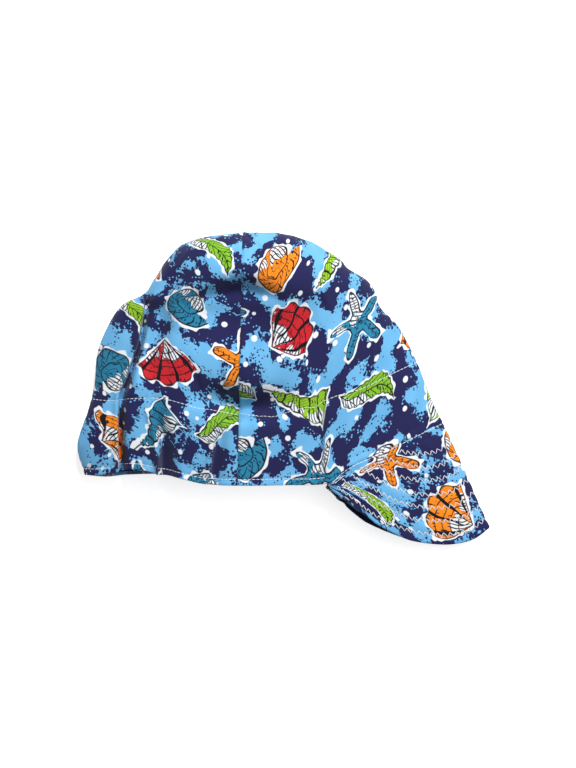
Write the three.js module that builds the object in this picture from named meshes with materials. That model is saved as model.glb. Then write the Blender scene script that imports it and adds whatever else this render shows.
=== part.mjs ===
import * as THREE from 'three';

// A welder's cotton cap lying on its side: its front points to +X, its crown top to +Y, and +Z is up.
// Four crown panels meet in a seam up each side and in one seam over the middle, back and front.
// A sweatband is sewn inside the rim, and a short quilted peak is folded in two along its middle.
// The wearer's right side lies on top. The left side is flattened on the surface that carries the cap.
// Lengths are millimetres. Each table holds shares of the named sizes that its heading gives.

// Driving sizes of the cap as it lies
const crownLength = 254;
const crownHeight = 174;
const lieHeight = 50;
const peakLength = 80;
const peakLean = 24;
const bandHeight = 50;
const bandInset = 2;
const crownCloth = 1.5;
const bandCloth = 1.2;
const peakCloth = 2.6;
const seamGap = 0.3;
const crownPoint = 1.8;
const peakEndWidth = 3;

// How far the rolls of cloth at the edges reach in, from above and from below
const topRoll = 34;
const underRoll = 22;
const backRollShare = 0.42;
const frontRollShare = 0.5;
const underEdgeShare = 0.11;

// How far the right side stops short of the left side under it, at the back of the rim and at the
// end of the peak, and the shares of the rim and of the peak's front edge between which it does
const rimShort = 4;
const rimShortEnd = 0.2;
const peakShort = 4;
const peakShortStart = 0.45;

// Folds: one row's depth and width are shares of these
const foldDepth = 13;
const foldWidth = 7;

// Cloth colours
const printedCotton = { color: 0x5b9bd3, roughness: 0.9, metalness: 0 };
const insideCotton = { color: 0x3c5f9e, roughness: 0.95, metalness: 0 };

// Numbers of strips: up the crown, and round it between its seams and the ends of the peak
const rows = { band: 6, crown: 22, peak: 9 };
const strips = {
  right: { back: 20, side: 9, front: 11 },
  left: { back: 12, side: 5, front: 8 },
};

// Outline of the crown as it lies, from the rim to the crown top.
// x is a share of crownLength from the back, y a share of crownHeight from the rim.
const backOutline = [
  { x: 0.018, y: 0.04 },
  { x: 0.0, y: 0.159 },
  { x: 0.029, y: 0.286 },
  { x: 0.048, y: 0.393 },
  { x: 0.056, y: 0.512 },
  { x: 0.08, y: 0.611 },
  { x: 0.124, y: 0.71 },
  { x: 0.184, y: 0.756 },
  { x: 0.214, y: 0.817 },
  { x: 0.246, y: 0.889 },
  { x: 0.29, y: 0.952 },
  { x: 0.358, y: 0.982 },
  { x: 0.456, y: 1.0 },
];
const frontOutline = [
  { x: 1.0, y: 0.252 },
  { x: 0.97, y: 0.341 },
  { x: 0.935, y: 0.476 },
  { x: 0.902, y: 0.575 },
  { x: 0.878, y: 0.635 },
  { x: 0.831, y: 0.702 },
  { x: 0.815, y: 0.77 },
  { x: 0.788, y: 0.817 },
  { x: 0.741, y: 0.859 },
  { x: 0.722, y: 0.893 },
  { x: 0.69, y: 0.921 },
  { x: 0.649, y: 0.956 },
  { x: 0.592, y: 0.986 },
  { x: 0.535, y: 0.998 },
  { x: 0.456, y: 1.0 },
];

// Rim of the crown from its back corner to the front seam, in the same shares. The row marked
// peakEnd is where the peak starts.
const rimOutline = [
  { x: 0.018, y: 0.04 },
  { x: 0.078, y: 0.032 },
  { x: 0.137, y: 0.04 },
  { x: 0.233, y: 0.042 },
  { x: 0.295, y: 0.024 },
  { x: 0.352, y: 0.006 },
  { x: 0.44, y: 0.0 },
  { x: 0.567, y: 0.002 },
  { x: 0.682, y: 0.008, peakEnd: true },
  { x: 0.72, y: 0.052 },
  { x: 0.763, y: 0.09 },
  { x: 0.842, y: 0.139 },
  { x: 0.913, y: 0.191 },
  { x: 1.0, y: 0.252 },
];

// The side seam runs between these two shares of crownLength
const sideSeam = { rim: 0.44, top: 0.456 };

// Heights over the resting plane, as shares of lieHeight: the turned edges at the back and at the
// front, and the crest of the right side between them. rise is the share of the way up from the rim.
const heights = [
  { rise: 0, back: 0.18, front: 0.14, crest: 0.54 },
  { rise: 0.22, back: 0.25, front: 0.17, crest: 0.64 },
  { rise: 0.45, back: 0.34, front: 0.22, crest: 0.76 },
  { rise: 0.66, back: 0.42, front: 0.34, crest: 0.98 },
  { rise: 0.85, back: 0.47, front: 0.45, crest: 1.0 },
  { rise: 1, back: 0.48, front: 0.48, crest: 1.0 },
];

// Folds of the right side. A line's x and y are shares as in the outlines, and its depth is a
// share of foldDepth, with ridges below zero. A width is a share of foldWidth.
const folds = [
  {
    what: 'deep fold that takes in the slack behind the side seam',
    width: 1,
    line: [
      { x: 0.134, y: 0.02, depth: 0.8 },
      { x: 0.133, y: 0.18, depth: 0.95 },
      { x: 0.138, y: 0.35, depth: 0.95 },
      { x: 0.166, y: 0.44, depth: 0.9 },
      { x: 0.188, y: 0.54, depth: 0.85 },
      { x: 0.207, y: 0.66, depth: 0.65 },
      { x: 0.236, y: 0.78, depth: 0.4 },
      { x: 0.276, y: 0.885, depth: 0.1 },
    ],
  },
  {
    what: 'valley under the roll of the crown top',
    width: 1.8,
    line: [
      { x: 0.29, y: 0.7, depth: 0.08 },
      { x: 0.352, y: 0.775, depth: 0.4 },
      { x: 0.461, y: 0.782, depth: 0.5 },
      { x: 0.584, y: 0.735, depth: 0.25 },
      { x: 0.66, y: 0.66, depth: 0.05 },
    ],
  },
  {
    what: 'hollow over the top of the sweatband',
    width: 2.2,
    line: [
      { x: 0.31, y: 0.4, depth: 0.15 },
      { x: 0.375, y: 0.4, depth: 0.42 },
      { x: 0.44, y: 0.345, depth: 0.5 },
      { x: 0.53, y: 0.33, depth: 0.35 },
      { x: 0.6, y: 0.37, depth: 0.12 },
    ],
  },
  {
    what: 'bulge of the back panel over the rim',
    width: 2.4,
    line: [
      { x: 0.045, y: 0.12, depth: -0.3 },
      { x: 0.075, y: 0.34, depth: -0.3 },
    ],
  },
  {
    what: 'first gather in front of the deep fold',
    width: 0.75,
    line: [
      { x: 0.241, y: 0.02, depth: 0.3 },
      { x: 0.235, y: 0.18, depth: 0.26 },
      { x: 0.214, y: 0.3, depth: 0.12 },
    ],
  },
  {
    what: 'second gather in front of the deep fold',
    width: 0.8,
    line: [
      { x: 0.37, y: 0.0, depth: 0.28 },
      { x: 0.388, y: 0.16, depth: 0.22 },
      { x: 0.407, y: 0.25, depth: 0.14 },
    ],
  },
  {
    what: 'upright fold over the end of the peak',
    width: 0.9,
    line: [
      { x: 0.672, y: 0.01, depth: 0.25 },
      { x: 0.668, y: 0.22, depth: 0.35 },
      { x: 0.671, y: 0.321, depth: 0.25 },
      { x: 0.693, y: 0.5, depth: 0.06 },
    ],
  },
  {
    what: 'crease below the dent in the front outline',
    width: 0.9,
    line: [
      { x: 0.735, y: 0.86, depth: 0.3 },
      { x: 0.714, y: 0.75, depth: 0.18 },
      { x: 0.706, y: 0.6, depth: 0.04 },
    ],
  },
  {
    what: 'crease below the dent in the back outline',
    width: 0.9,
    line: [
      { x: 0.184, y: 0.756, depth: 0.3 },
      { x: 0.212, y: 0.69, depth: 0.25 },
    ],
  },
];

// Front edge of the peak, from its tip to its end at the rim. along is a share of the straight
// line from the front seam to the end of the peak, reach a share of peakLength.
const peakOutline = [
  { along: 0.0, reach: 1.0 },
  { along: 0.159, reach: 1.012 },
  { along: 0.316, reach: 0.958 },
  { along: 0.459, reach: 0.865 },
  { along: 0.592, reach: 0.75 },
  { along: 0.726, reach: 0.596 },
  { along: 0.841, reach: 0.434 },
  { along: 0.919, reach: 0.266 },
  { along: 0.969, reach: 0.113 },
  { along: 1.0, reach: 0.0 },
];
const peakDroop = 0.4;

const smoothCurve = (points) => new THREE.CatmullRomCurve3(points, false, 'catmullrom', 0.5);
const crownPlace = ({ x, y }) => new THREE.Vector3(x * crownLength, y * crownHeight, 0);

const backEdge = smoothCurve(backOutline.map(crownPlace));
const frontEdge = smoothCurve(frontOutline.map(crownPlace));
const rimEdge = smoothCurve(rimOutline.map(crownPlace));
const bandRise = bandHeight / Math.min(backEdge.getLength(), frontEdge.getLength());
const topRise = 1 - crownPoint / Math.min(backEdge.getLength(), frontEdge.getLength());

const mix = (a, b, share) => a + (b - a) * share;
const within = (value) => Math.min(Math.max(value, 0), 1);

// Height of a quarter circle over its own foot, both as shares
function rolled(share) {
  const left = 1 - within(share);
  return Math.sqrt(1 - left * left);
}

// A swell from 0 to 1 and back that leans towards its end
const swellLean = 1.5;
const swell = (share) => Math.sin(Math.PI * within(share) ** swellLean);

function heightsAt(rise) {
  const at = within(rise);
  const next = Math.max(1, heights.findIndex((row) => row.rise >= at));
  const low = heights[next - 1];
  const high = heights[next];
  const share = (at - low.rise) / (high.rise - low.rise);
  const eased = share * share * (3 - 2 * share);
  const column = (name) => mix(low[name], high[name], eased) * lieHeight;
  return { back: column('back'), front: column('front'), crest: column('crest') };
}

// Share of the rim's length at which the peak starts
function findPeakEnd() {
  const place = crownPlace(rimOutline.find((row) => row.peakEnd));
  const shares = rimEdge.getSpacedPoints(400).map((point) => point.distanceTo(place));
  return shares.indexOf(Math.min(...shares)) / 400;
}
const peakEndAcross = findPeakEnd();

// Point of the cap seen from above: across runs from the back outline to the front one, rise from
// the rim to the crown top. The rim's own sag fades towards the top.
function planPoint(across, rise) {
  const share = within(across);
  const up = within(rise);
  const rimChord = backEdge.getPointAt(0).lerp(frontEdge.getPointAt(0), share);
  const sag = rimEdge.getPointAt(share).sub(rimChord);
  const chord = backEdge.getPointAt(up).lerp(frontEdge.getPointAt(up), share);
  return chord.addScaledVector(sag, 1 - up * up);
}

const seamShares = new Map();
function sideSeamAcross(rise) {
  if (!seamShares.has(rise)) {
    const target = mix(sideSeam.rim, sideSeam.top, rise) * crownLength;
    const width = planPoint(1, rise).x - planPoint(0, rise).x;
    let share = 0.5;
    for (let step = 0; step < 5; step += 1) {
      share += (target - planPoint(share, rise).x) / width;
    }
    seamShares.set(rise, share);
  }
  return seamShares.get(rise);
}

// The turn round the cap is an angle: 0 at the back seam, a right angle at the right side seam,
// half a turn at the front seam, and negative on the left side.
function acrossAt(turn, rise) {
  const even = (1 - Math.cos(turn)) / 2;
  const pull = 4 * (sideSeamAcross(rise) - 0.5);
  return even + pull * even * (1 - even);
}

function turnAt(across) {
  let low = 0;
  let high = Math.PI;
  for (let step = 0; step < 40; step += 1) {
    const middle = (low + high) / 2;
    if (acrossAt(middle, 0) < across) low = middle;
    else high = middle;
  }
  return (low + high) / 2;
}
const peakEndTurn = turnAt(peakEndAcross);

function foldDrop(point) {
  let drop = 0;
  for (const { width, line } of folds) {
    let nearest = Infinity;
    let depth = 0;
    for (let i = 1; i < line.length; i += 1) {
      const start = crownPlace(line[i - 1]);
      const along = crownPlace(line[i]).sub(start);
      const share = within(point.clone().sub(start).dot(along) / along.lengthSq());
      const gap = start.addScaledVector(along, share).distanceTo(point);
      if (gap < nearest) {
        nearest = gap;
        depth = mix(line[i - 1].depth, line[i].depth, share);
      }
    }
    drop += depth * foldDepth * Math.exp(-((nearest / (width * foldWidth)) ** 2));
  }
  return drop;
}

// Outer face of the crown
function crownFace(turn, rise) {
  const wound = Math.atan2(Math.sin(turn), Math.cos(turn));
  const across = acrossAt(wound, rise);
  const plan = planPoint(across, rise);
  const { back, front, crest } = heightsAt(rise);
  const edge = mix(back, front, across);
  const fromTop = planPoint(sideSeamAcross(rise), rise).distanceTo(planPoint(0, 1));
  if (wound >= 0) {
    const round = rolled(across / backRollShare) * rolled((1 - across) / frontRollShare);
    const full = round * rolled(fromTop / topRoll);
    const drop = foldDrop(plan) * full;
    plan.y += rimShort * swell(across / rimShortEnd) * within(1 - rise / bandRise);
    return plan.setZ(edge + (crest - edge) * full - drop);
  }
  const round = rolled(across / underEdgeShare) * rolled((1 - across) / underEdgeShare);
  return plan.setZ(edge * (1 - round * rolled(fromTop / underRoll)));
}

// A face's directions: round the cap, up from the rim, and out of the cloth
function directions(face, turn, rise) {
  const small = 1e-3;
  const low = Math.max(rise - small, 0);
  const high = Math.min(rise + small, 1);
  const round = face(turn + small, rise).sub(face(turn - small, rise)).normalize();
  const up = face(turn, high).sub(face(turn, low)).normalize();
  return { round, up, out: round.clone().cross(up).normalize() };
}

// Front edge of the peak as a curve from the tip to the end, seen from above
const frontSeamFoot = planPoint(1, 0);
const peakEndFoot = planPoint(peakEndAcross, 0);
const leanAngle = THREE.MathUtils.degToRad(peakLean);
const peakWay = new THREE.Vector3(Math.sin(leanAngle), -Math.cos(leanAngle), 0);
const peakEdge = smoothCurve(
  peakOutline.map(({ along, reach }) => {
    const foot = frontSeamFoot.clone().lerp(peakEndFoot, along);
    return foot.addScaledVector(peakWay, reach * peakLength + along * peakEndWidth);
  }),
);

// Outer face of the peak: out runs from the rim seam to the front edge
function peakFace(turn, out) {
  const wound = Math.atan2(Math.sin(turn), Math.cos(turn));
  const across = acrossAt(wound, 0);
  const back = within((1 - across) / (1 - peakEndAcross));
  const seam = crownFace(wound, 0);
  seam.addScaledVector(directions(crownFace, wound, 0).up, -seamGap);
  const edge = peakEdge.getPointAt(back);
  if (wound >= 0) {
    const along = peakEdge.getTangentAt(back);
    const inward = new THREE.Vector3(along.y, -along.x, 0);
    edge.addScaledVector(inward, peakShort * swell((back - peakShortStart) / (1 - peakShortStart)));
  }
  const fold = heightsAt(0).front;
  const point = seam.clone().lerp(edge, out);
  const droop = wound < 0 ? 0 : peakDroop * out * (1 - back * back);
  return point.setZ(seam.z - droop * Math.max(seam.z - fold, 0));
}

function clothMesh(name, outer, inner, look, closed = false) {
  const columns = outer.length;
  const rings = outer[0].length;
  const positions = [...outer.flat(), ...inner.flat()].flatMap((point) => point.toArray());
  const outside = (i, j) => (i % columns) * rings + j;
  const inside = (i, j) => columns * rings + outside(i, j);
  const faces = [];
  const quad = (a, b, c, d) => faces.push(a, b, c, a, c, d);
  const lastColumn = closed ? columns : columns - 1;
  for (let i = 0; i < lastColumn; i += 1) {
    for (let j = 0; j < rings - 1; j += 1) {
      quad(outside(i, j), outside(i + 1, j), outside(i + 1, j + 1), outside(i, j + 1));
      faces.push(inside(i, j), inside(i + 1, j + 1), inside(i + 1, j));
      faces.push(inside(i, j), inside(i, j + 1), inside(i + 1, j + 1));
    }
    quad(outside(i, 0), inside(i, 0), inside(i + 1, 0), outside(i + 1, 0));
    const top = rings - 1;
    quad(outside(i, top), outside(i + 1, top), inside(i + 1, top), inside(i, top));
  }
  if (!closed) {
    for (let j = 0; j < rings - 1; j += 1) {
      const end = columns - 1;
      quad(outside(0, j), outside(0, j + 1), inside(0, j + 1), inside(0, j));
      quad(outside(end, j), inside(end, j), inside(end, j + 1), outside(end, j + 1));
    }
  }
  const geometry = new THREE.BufferGeometry();
  geometry.setAttribute('position', new THREE.Float32BufferAttribute(positions, 3));
  geometry.setIndex(faces);
  geometry.computeVertexNormals();
  const mesh = new THREE.Mesh(geometry, new THREE.MeshStandardMaterial(look));
  mesh.name = name;
  return mesh;
}

// Values spaced evenly from start to end, both included
const evenly = (start, end, count) =>
  Array.from({ length: count + 1 }, (_, i) => mix(start, end, i / count));

const bandRows = evenly(0, bandRise, rows.band);
const crownRows = [...bandRows, ...evenly(bandRise, topRise, rows.crown).slice(1)];

const quarter = Math.PI / 2;
const half = Math.PI;
const rightBackTurns = evenly(0, quarter, strips.right.back);
const rightFrontTurns = [
  ...evenly(quarter, peakEndTurn, strips.right.side),
  ...evenly(peakEndTurn, half, strips.right.front).slice(1),
];
const leftBackTurns = evenly(-quarter, 0, strips.left.back);
const leftFrontTurns = [
  ...evenly(-half, -peakEndTurn, strips.left.front),
  ...evenly(-peakEndTurn, -quarter, strips.left.side).slice(1),
];

// A crown panel stops half a seam gap short of the seam at each side
function crownPanel(name, turns) {
  const outer = [];
  const inner = [];
  turns.forEach((turn, i) => {
    const atSeam = i === 0 ? 1 : i === turns.length - 1 ? -1 : 0;
    const faces = crownRows.map((rise) => {
      const { round, out } = directions(crownFace, turn, rise);
      const face = crownFace(turn, rise).addScaledVector(round, (atSeam * seamGap) / 2);
      return { face, back: face.clone().addScaledVector(out, -crownCloth) };
    });
    outer.push(faces.map(({ face }) => face));
    inner.push(faces.map(({ back }) => back));
  });
  return clothMesh(name, outer, inner, printedCotton);
}

// The sweatband is one closed strip that follows the inside of all four panels
function sweatband() {
  const turns = [
    ...leftFrontTurns,
    ...leftBackTurns.slice(1),
    ...rightBackTurns.slice(1),
    ...rightFrontTurns.slice(1, -1),
  ];
  const depth = crownCloth + seamGap;
  const outer = [];
  const inner = [];
  for (const turn of turns) {
    const faces = bandRows.map((rise, j) => {
      const { up, out } = directions(crownFace, turn, rise);
      const face = crownFace(turn, rise).addScaledVector(out, -depth);
      if (j === 0) face.addScaledVector(up, bandInset);
      return { face, back: face.clone().addScaledVector(out, -bandCloth) };
    });
    outer.push(faces.map(({ face }) => face));
    inner.push(faces.map(({ back }) => back));
  }
  return clothMesh('sweatband', outer, inner, insideCotton, true);
}

// The peak is one folded piece. Its first row stands square to the cloth of the rim that it meets.
function peak() {
  const turns = [
    ...evenly(peakEndTurn, half, strips.right.front),
    ...evenly(-half, -peakEndTurn, strips.left.front).slice(1),
  ];
  const outs = evenly(1, 0, rows.peak);
  const outer = [];
  const inner = [];
  for (const turn of turns) {
    const faces = outs.map((reach) => {
      const own = directions(peakFace, turn, Math.min(Math.max(reach, 0.02), 0.98)).out.negate();
      const out = reach === 0 ? directions(crownFace, turn, 0).out : own;
      const face = peakFace(turn, reach);
      return { face, back: face.clone().addScaledVector(out, -peakCloth) };
    });
    outer.push(faces.map(({ face }) => face));
    inner.push(faces.map(({ back }) => back));
  }
  return clothMesh('peak', outer, inner, printedCotton);
}

const cap = new THREE.Group();
cap.add(
  crownPanel('crown_back_right', rightBackTurns),
  crownPanel('crown_front_right', rightFrontTurns),
  crownPanel('crown_back_left', leftBackTurns),
  crownPanel('crown_front_left', leftFrontTurns),
  sweatband(),
  peak(),
);

// The origin is on the resting plane, under the middle of the whole cap
const extent = new THREE.Box3().setFromObject(cap);
const middle = extent.getCenter(new THREE.Vector3());
cap.position.set(-middle.x, -middle.y, -extent.min.z);

export default cap;
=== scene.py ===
import math

import bpy
import numpy as np
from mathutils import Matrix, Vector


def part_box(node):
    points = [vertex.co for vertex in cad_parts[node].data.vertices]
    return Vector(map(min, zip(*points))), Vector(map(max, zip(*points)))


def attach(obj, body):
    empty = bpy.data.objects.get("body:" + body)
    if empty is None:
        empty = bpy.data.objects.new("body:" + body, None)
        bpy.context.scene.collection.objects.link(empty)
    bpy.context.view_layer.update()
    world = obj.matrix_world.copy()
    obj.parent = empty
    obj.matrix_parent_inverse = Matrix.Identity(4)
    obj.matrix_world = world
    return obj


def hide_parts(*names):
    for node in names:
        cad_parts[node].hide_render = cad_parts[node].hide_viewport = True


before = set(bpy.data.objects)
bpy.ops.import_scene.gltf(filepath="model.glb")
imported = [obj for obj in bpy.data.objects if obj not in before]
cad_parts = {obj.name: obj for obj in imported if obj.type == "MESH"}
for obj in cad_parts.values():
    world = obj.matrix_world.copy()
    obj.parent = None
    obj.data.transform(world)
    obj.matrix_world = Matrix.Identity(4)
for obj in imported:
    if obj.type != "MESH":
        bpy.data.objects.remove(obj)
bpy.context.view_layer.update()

# The form of the crown
# Four panels of cotton are sewn together in a seam up each side and one over the middle. The cap
# lies on its left side: its outline, heights and folds are those of soft cloth at rest. Sizes are
# in metres, and tables in shares of the crown's length, its height and the height it lies at.
crown_nodes = ["crown_back_right", "crown_front_right", "crown_back_left", "crown_front_left"]
crown_low = np.min([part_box(node)[0] for node in crown_nodes], axis=0)
crown_high = np.max([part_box(node)[1] for node in crown_nodes], axis=0)
crown_length = crown_high[0] - crown_low[0]
crown_height = crown_high[1] - crown_low[1]
lie_height = 0.050
band_height = 0.050
crown_cloth = 0.0013
top_roll = 0.034
under_roll = 0.022
back_roll_share = 0.42
front_roll_share = 0.5
under_edge_share = 0.11
rim_short = 0.004
rim_short_end = 0.2
swell_lean = 1.5
fold_depth = 0.013
fold_width = 0.007
lip_place = 2.0
lean_start, lean_reach, lean_under = 1.5, 0.009, 0.6
lean_end = 0.004
mm_in_metre = 1000
fold_steps = 40
fold_reach = 2.4
blend_sharpness, blend_floor, side_step = 4, 0.002, 1.5

# x, y
back_outline = [
    (0.018, 0.04), (0, 0.159), (0.029, 0.286), (0.048, 0.393), (0.056, 0.512),
    (0.08, 0.611), (0.124, 0.71), (0.184, 0.756), (0.214, 0.817), (0.246, 0.889),
    (0.29, 0.952), (0.358, 0.982), (0.456, 1),
]
front_outline = [
    (1, 0.252), (0.97, 0.341), (0.935, 0.476), (0.902, 0.575), (0.878, 0.635),
    (0.831, 0.702), (0.815, 0.77), (0.788, 0.817), (0.741, 0.859), (0.722, 0.893),
    (0.69, 0.921), (0.649, 0.956), (0.592, 0.986), (0.535, 0.998), (0.456, 1),
]
rim_outline = [
    (0.018, 0.04), (0.078, 0.032), (0.137, 0.04), (0.233, 0.042), (0.295, 0.024),
    (0.352, 0.006), (0.44, 0), (0.567, 0.002), (0.682, 0.008), (0.72, 0.052),
    (0.763, 0.09), (0.842, 0.139), (0.913, 0.191), (1, 0.252),
]
peak_end_row = 8
side_seam_rim, side_seam_top = 0.44, 0.456

# rise, height of the back edge, of the front edge, of the crest
back_edge, front_edge, crest = 1, 2, 3
lie_heights = np.array([
    (0, 0.18, 0.14, 0.54),
    (0.22, 0.25, 0.17, 0.64),
    (0.45, 0.34, 0.22, 0.76),
    (0.66, 0.42, 0.34, 0.98),
    (0.85, 0.47, 0.45, 1),
    (1, 0.48, 0.48, 1),
])

# Widths behind the line and ahead of it, in fold widths; height of the lip behind it, as a share
# of the depth; how far that lip leans over the line, in mm; then the line's x, y and depth, in
# fold depths. A ridge's depth is negative.
crown_folds = [
    # deep fold behind the side seam: its lip leans over a crevice, and a slope rises in front
    (0.28, 0.5, 0.14, 4.5, [
        (0.117, 0.02, 1.6), (0.116, 0.18, 1.6), (0.121, 0.35, 1.45), (0.135, 0.4, 1.35),
        (0.151, 0.47, 1.3), (0.171, 0.56, 1.2), (0.185, 0.66, 1.1), (0.191, 0.73, 0.95),
        (0.19, 0.79, 0.5),
    ]),
    (1, 1.3, 0, 0, [
        (0.172, 0.4, 0), (0.2, 0.5, 0.75), (0.224, 0.62, 0.85), (0.254, 0.76, 0.6),
        (0.296, 0.88, 0.12),
    ]),
    # valley under the roll of the crown top
    (1.4, 5.5, 0, 2, [
        (0.27, 0.7, 0), (0.33, 0.718, 0.7), (0.39, 0.742, 1.1), (0.448, 0.766, 1.3),
        (0.51, 0.742, 1), (0.575, 0.712, 0.5), (0.66, 0.69, 0),
    ]),
    # hollow over the top of the sweatband
    (1.9, 1, 0, 4, [
        (0.305, 0.37, 0), (0.365, 0.338, 0.8), (0.42, 0.316, 1.45), (0.485, 0.305, 1.15),
        (0.545, 0.312, 0.65), (0.62, 0.34, 0),
    ]),
    # bulge of the back panel over the rim
    (2.4, 2.4, 0, 0, [(0.045, 0.12, -0.3), (0.075, 0.34, -0.3)]),
    # gathers in front of the deep fold
    (0.32, 0.9, 0.35, 0, [(0.241, 0.02, 0.8), (0.235, 0.18, 0.7), (0.214, 0.3, 0.2)]),
    (0.3, 0.8, 0.35, 0, [(0.37, 0, 0.42), (0.388, 0.16, 0.4), (0.407, 0.25, 0.14)]),
    # small tucks beside and over the band stitching
    (0.28, 0.6, 0.4, 0, [(0.328, 0.262, 0.05), (0.303, 0.2, 0.18), (0.278, 0.141, 0.05)]),
    (0.28, 0.5, 0.3, 0, [(0.327, 0.46, 0.03), (0.333, 0.41, 0.14), (0.335, 0.37, 0.03)]),
    (0.28, 0.5, 0.3, 0, [(0.4, 0.5, 0.02), (0.398, 0.45, 0.14), (0.402, 0.4, 0.04)]),
    # upright fold over the end of the peak
    (1, 0.35, 0, 0, [
        (0.672, 0.01, 0.18), (0.664, 0.18, 0.38), (0.67, 0.262, 0.38), (0.671, 0.321, 0.22),
        (0.693, 0.5, 0.05),
    ]),
    # creases below the dents in the outline
    (0.7, 0.9, 0, 0, [(0.735, 0.86, 0.3), (0.716, 0.78, 0.14), (0.708, 0.7, 0.02)]),
    (0.9, 0.9, 0, 0, [(0.184, 0.756, 0.3), (0.212, 0.69, 0.25)]),
    # fine creases in the front panel
    (0.3, 0.5, 0.3, 0, [(0.652, 0.88, 0.03), (0.665, 0.85, 0.12), (0.682, 0.81, 0.08)]),
    (0.3, 0.5, 0.3, 0, [(0.658, 0.76, 0.03), (0.668, 0.72, 0.12), (0.675, 0.69, 0.03)]),
    (0.35, 0.45, 0.3, 0, [(0.782, 0.74, 0.03), (0.786, 0.7, 0.14), (0.79, 0.66, 0.04)]),
    (0.3, 0.35, 0.3, 0, [(0.79, 0.57, 0.02), (0.793, 0.53, 0.09), (0.793, 0.49, 0.02)]),
]


def length(ways):
    return np.linalg.norm(ways, axis=-1)


def unit(ways):
    """The same ways, each one long."""
    return ways / np.maximum(length(ways), 1e-12)[..., None]


def run_along(points):
    """How far along a line each of its points lies."""
    return np.concatenate([[0], np.cumsum(length(np.diff(points, axis=0)))])


def smooth_line(points, steps=900):
    """Evenly stepped points on a smooth curve through the given ones."""
    points = np.asarray(points, float)
    padded = np.vstack([2 * points[0] - points[1], points, 2 * points[-1] - points[-2]])
    spot = np.linspace(0, len(points) - 1, steps)
    start = np.minimum(spot.astype(int), len(points) - 2)
    part = (spot - start)[:, None]
    a, b, c, d = (padded[start + i] for i in range(4))
    curve = 0.5 * (
        2 * b + (c - a) * part
        + (2 * a - 5 * b + 4 * c - d) * part**2
        + (3 * b - a - 3 * c + d) * part**3
    )
    run = run_along(curve[:, :2])
    even = np.linspace(0, run[-1], steps)
    return np.stack([np.interp(even, run, column) for column in curve.T], axis=1)


def along_line(line, share):
    """Places at shares of a stepped line's length."""
    spot = np.linspace(0, 1, len(line))
    share = np.clip(share, 0, 1)
    return np.stack([np.interp(share, spot, line[:, axis]) for axis in range(2)], axis=-1)


def crown_place(x, y):
    """Place in the frame, seen from above, of shares of the crown's length and height."""
    return np.array([crown_low[0] + x * crown_length, crown_low[1] + y * crown_height])


def rolled(share):
    """Height of a quarter circle over its own foot, both as shares."""
    return np.sqrt(1 - (1 - np.clip(share, 0, 1)) ** 2)


def swell(share):
    """A swell from 0 to 1 and back that leans towards its end."""
    return np.sin(math.pi * np.clip(share, 0, 1) ** swell_lean)


def lie_height_at(rise, column):
    rises, values = lie_heights[:, 0], lie_heights[:, column]
    rise = np.clip(rise, 0, 1)
    above = np.clip(np.searchsorted(rises, rise), 1, len(rises) - 1)
    share = (rise - rises[above - 1]) / (rises[above] - rises[above - 1])
    eased = share * share * (3 - 2 * share)
    return lie_height * (values[above - 1] + (values[above] - values[above - 1]) * eased)


back_line, front_line, rim_line = (
    smooth_line([crown_place(*spot) for spot in outline])
    for outline in (back_outline, front_outline, rim_outline)
)
meridian_length = min(length(np.diff(line, axis=0)).sum() for line in (back_line, front_line))
band_rise = band_height / meridian_length


def plan_point(across, rise):
    """Place seen from above: across runs from the back to the front, rise from rim to top."""
    across, rise = np.broadcast_arrays(np.clip(across, 0, 1), np.clip(rise, 0, 1))
    share = across[..., None]
    chord = along_line(back_line, rise) * (1 - share) + along_line(front_line, rise) * share
    rim_chord = back_line[0] * (1 - share) + front_line[0] * share
    sag = along_line(rim_line, across) - rim_chord
    return chord + sag * (1 - rise[..., None] ** 2)


def side_seam_across(rise, rounds=5):
    """Share of the way from back to front at which the side seam runs, found in a few rounds."""
    target = crown_low[0] + crown_length * (side_seam_rim + (side_seam_top - side_seam_rim) * rise)
    width = plan_point(1, rise)[..., 0] - plan_point(0, rise)[..., 0]
    share = np.full(np.shape(rise), 0.5)
    for _ in range(rounds):
        share = share + (target - plan_point(share, rise)[..., 0]) / width
    return share


def across_at(turn, rise):
    """Share of the way from back to front at a turn round the cap. The turn is 0 at the back seam,
    a right angle at the side seam, half a turn at the front seam, and negative on the left."""
    even = (1 - np.cos(turn)) / 2
    return even + 4 * (side_seam_across(rise) - 0.5) * even * (1 - even)


def peak_end_turn_at(place, tries=4000):
    """Turn at which the rim passes the end of the peak."""
    turns = np.linspace(0, math.pi, tries)
    spots = plan_point(across_at(turns, np.zeros(tries)), 0)
    return turns[np.argmin(length(spots - place))]


peak_end_turn = peak_end_turn_at(crown_place(*rim_outline[peak_end_row]))


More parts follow.
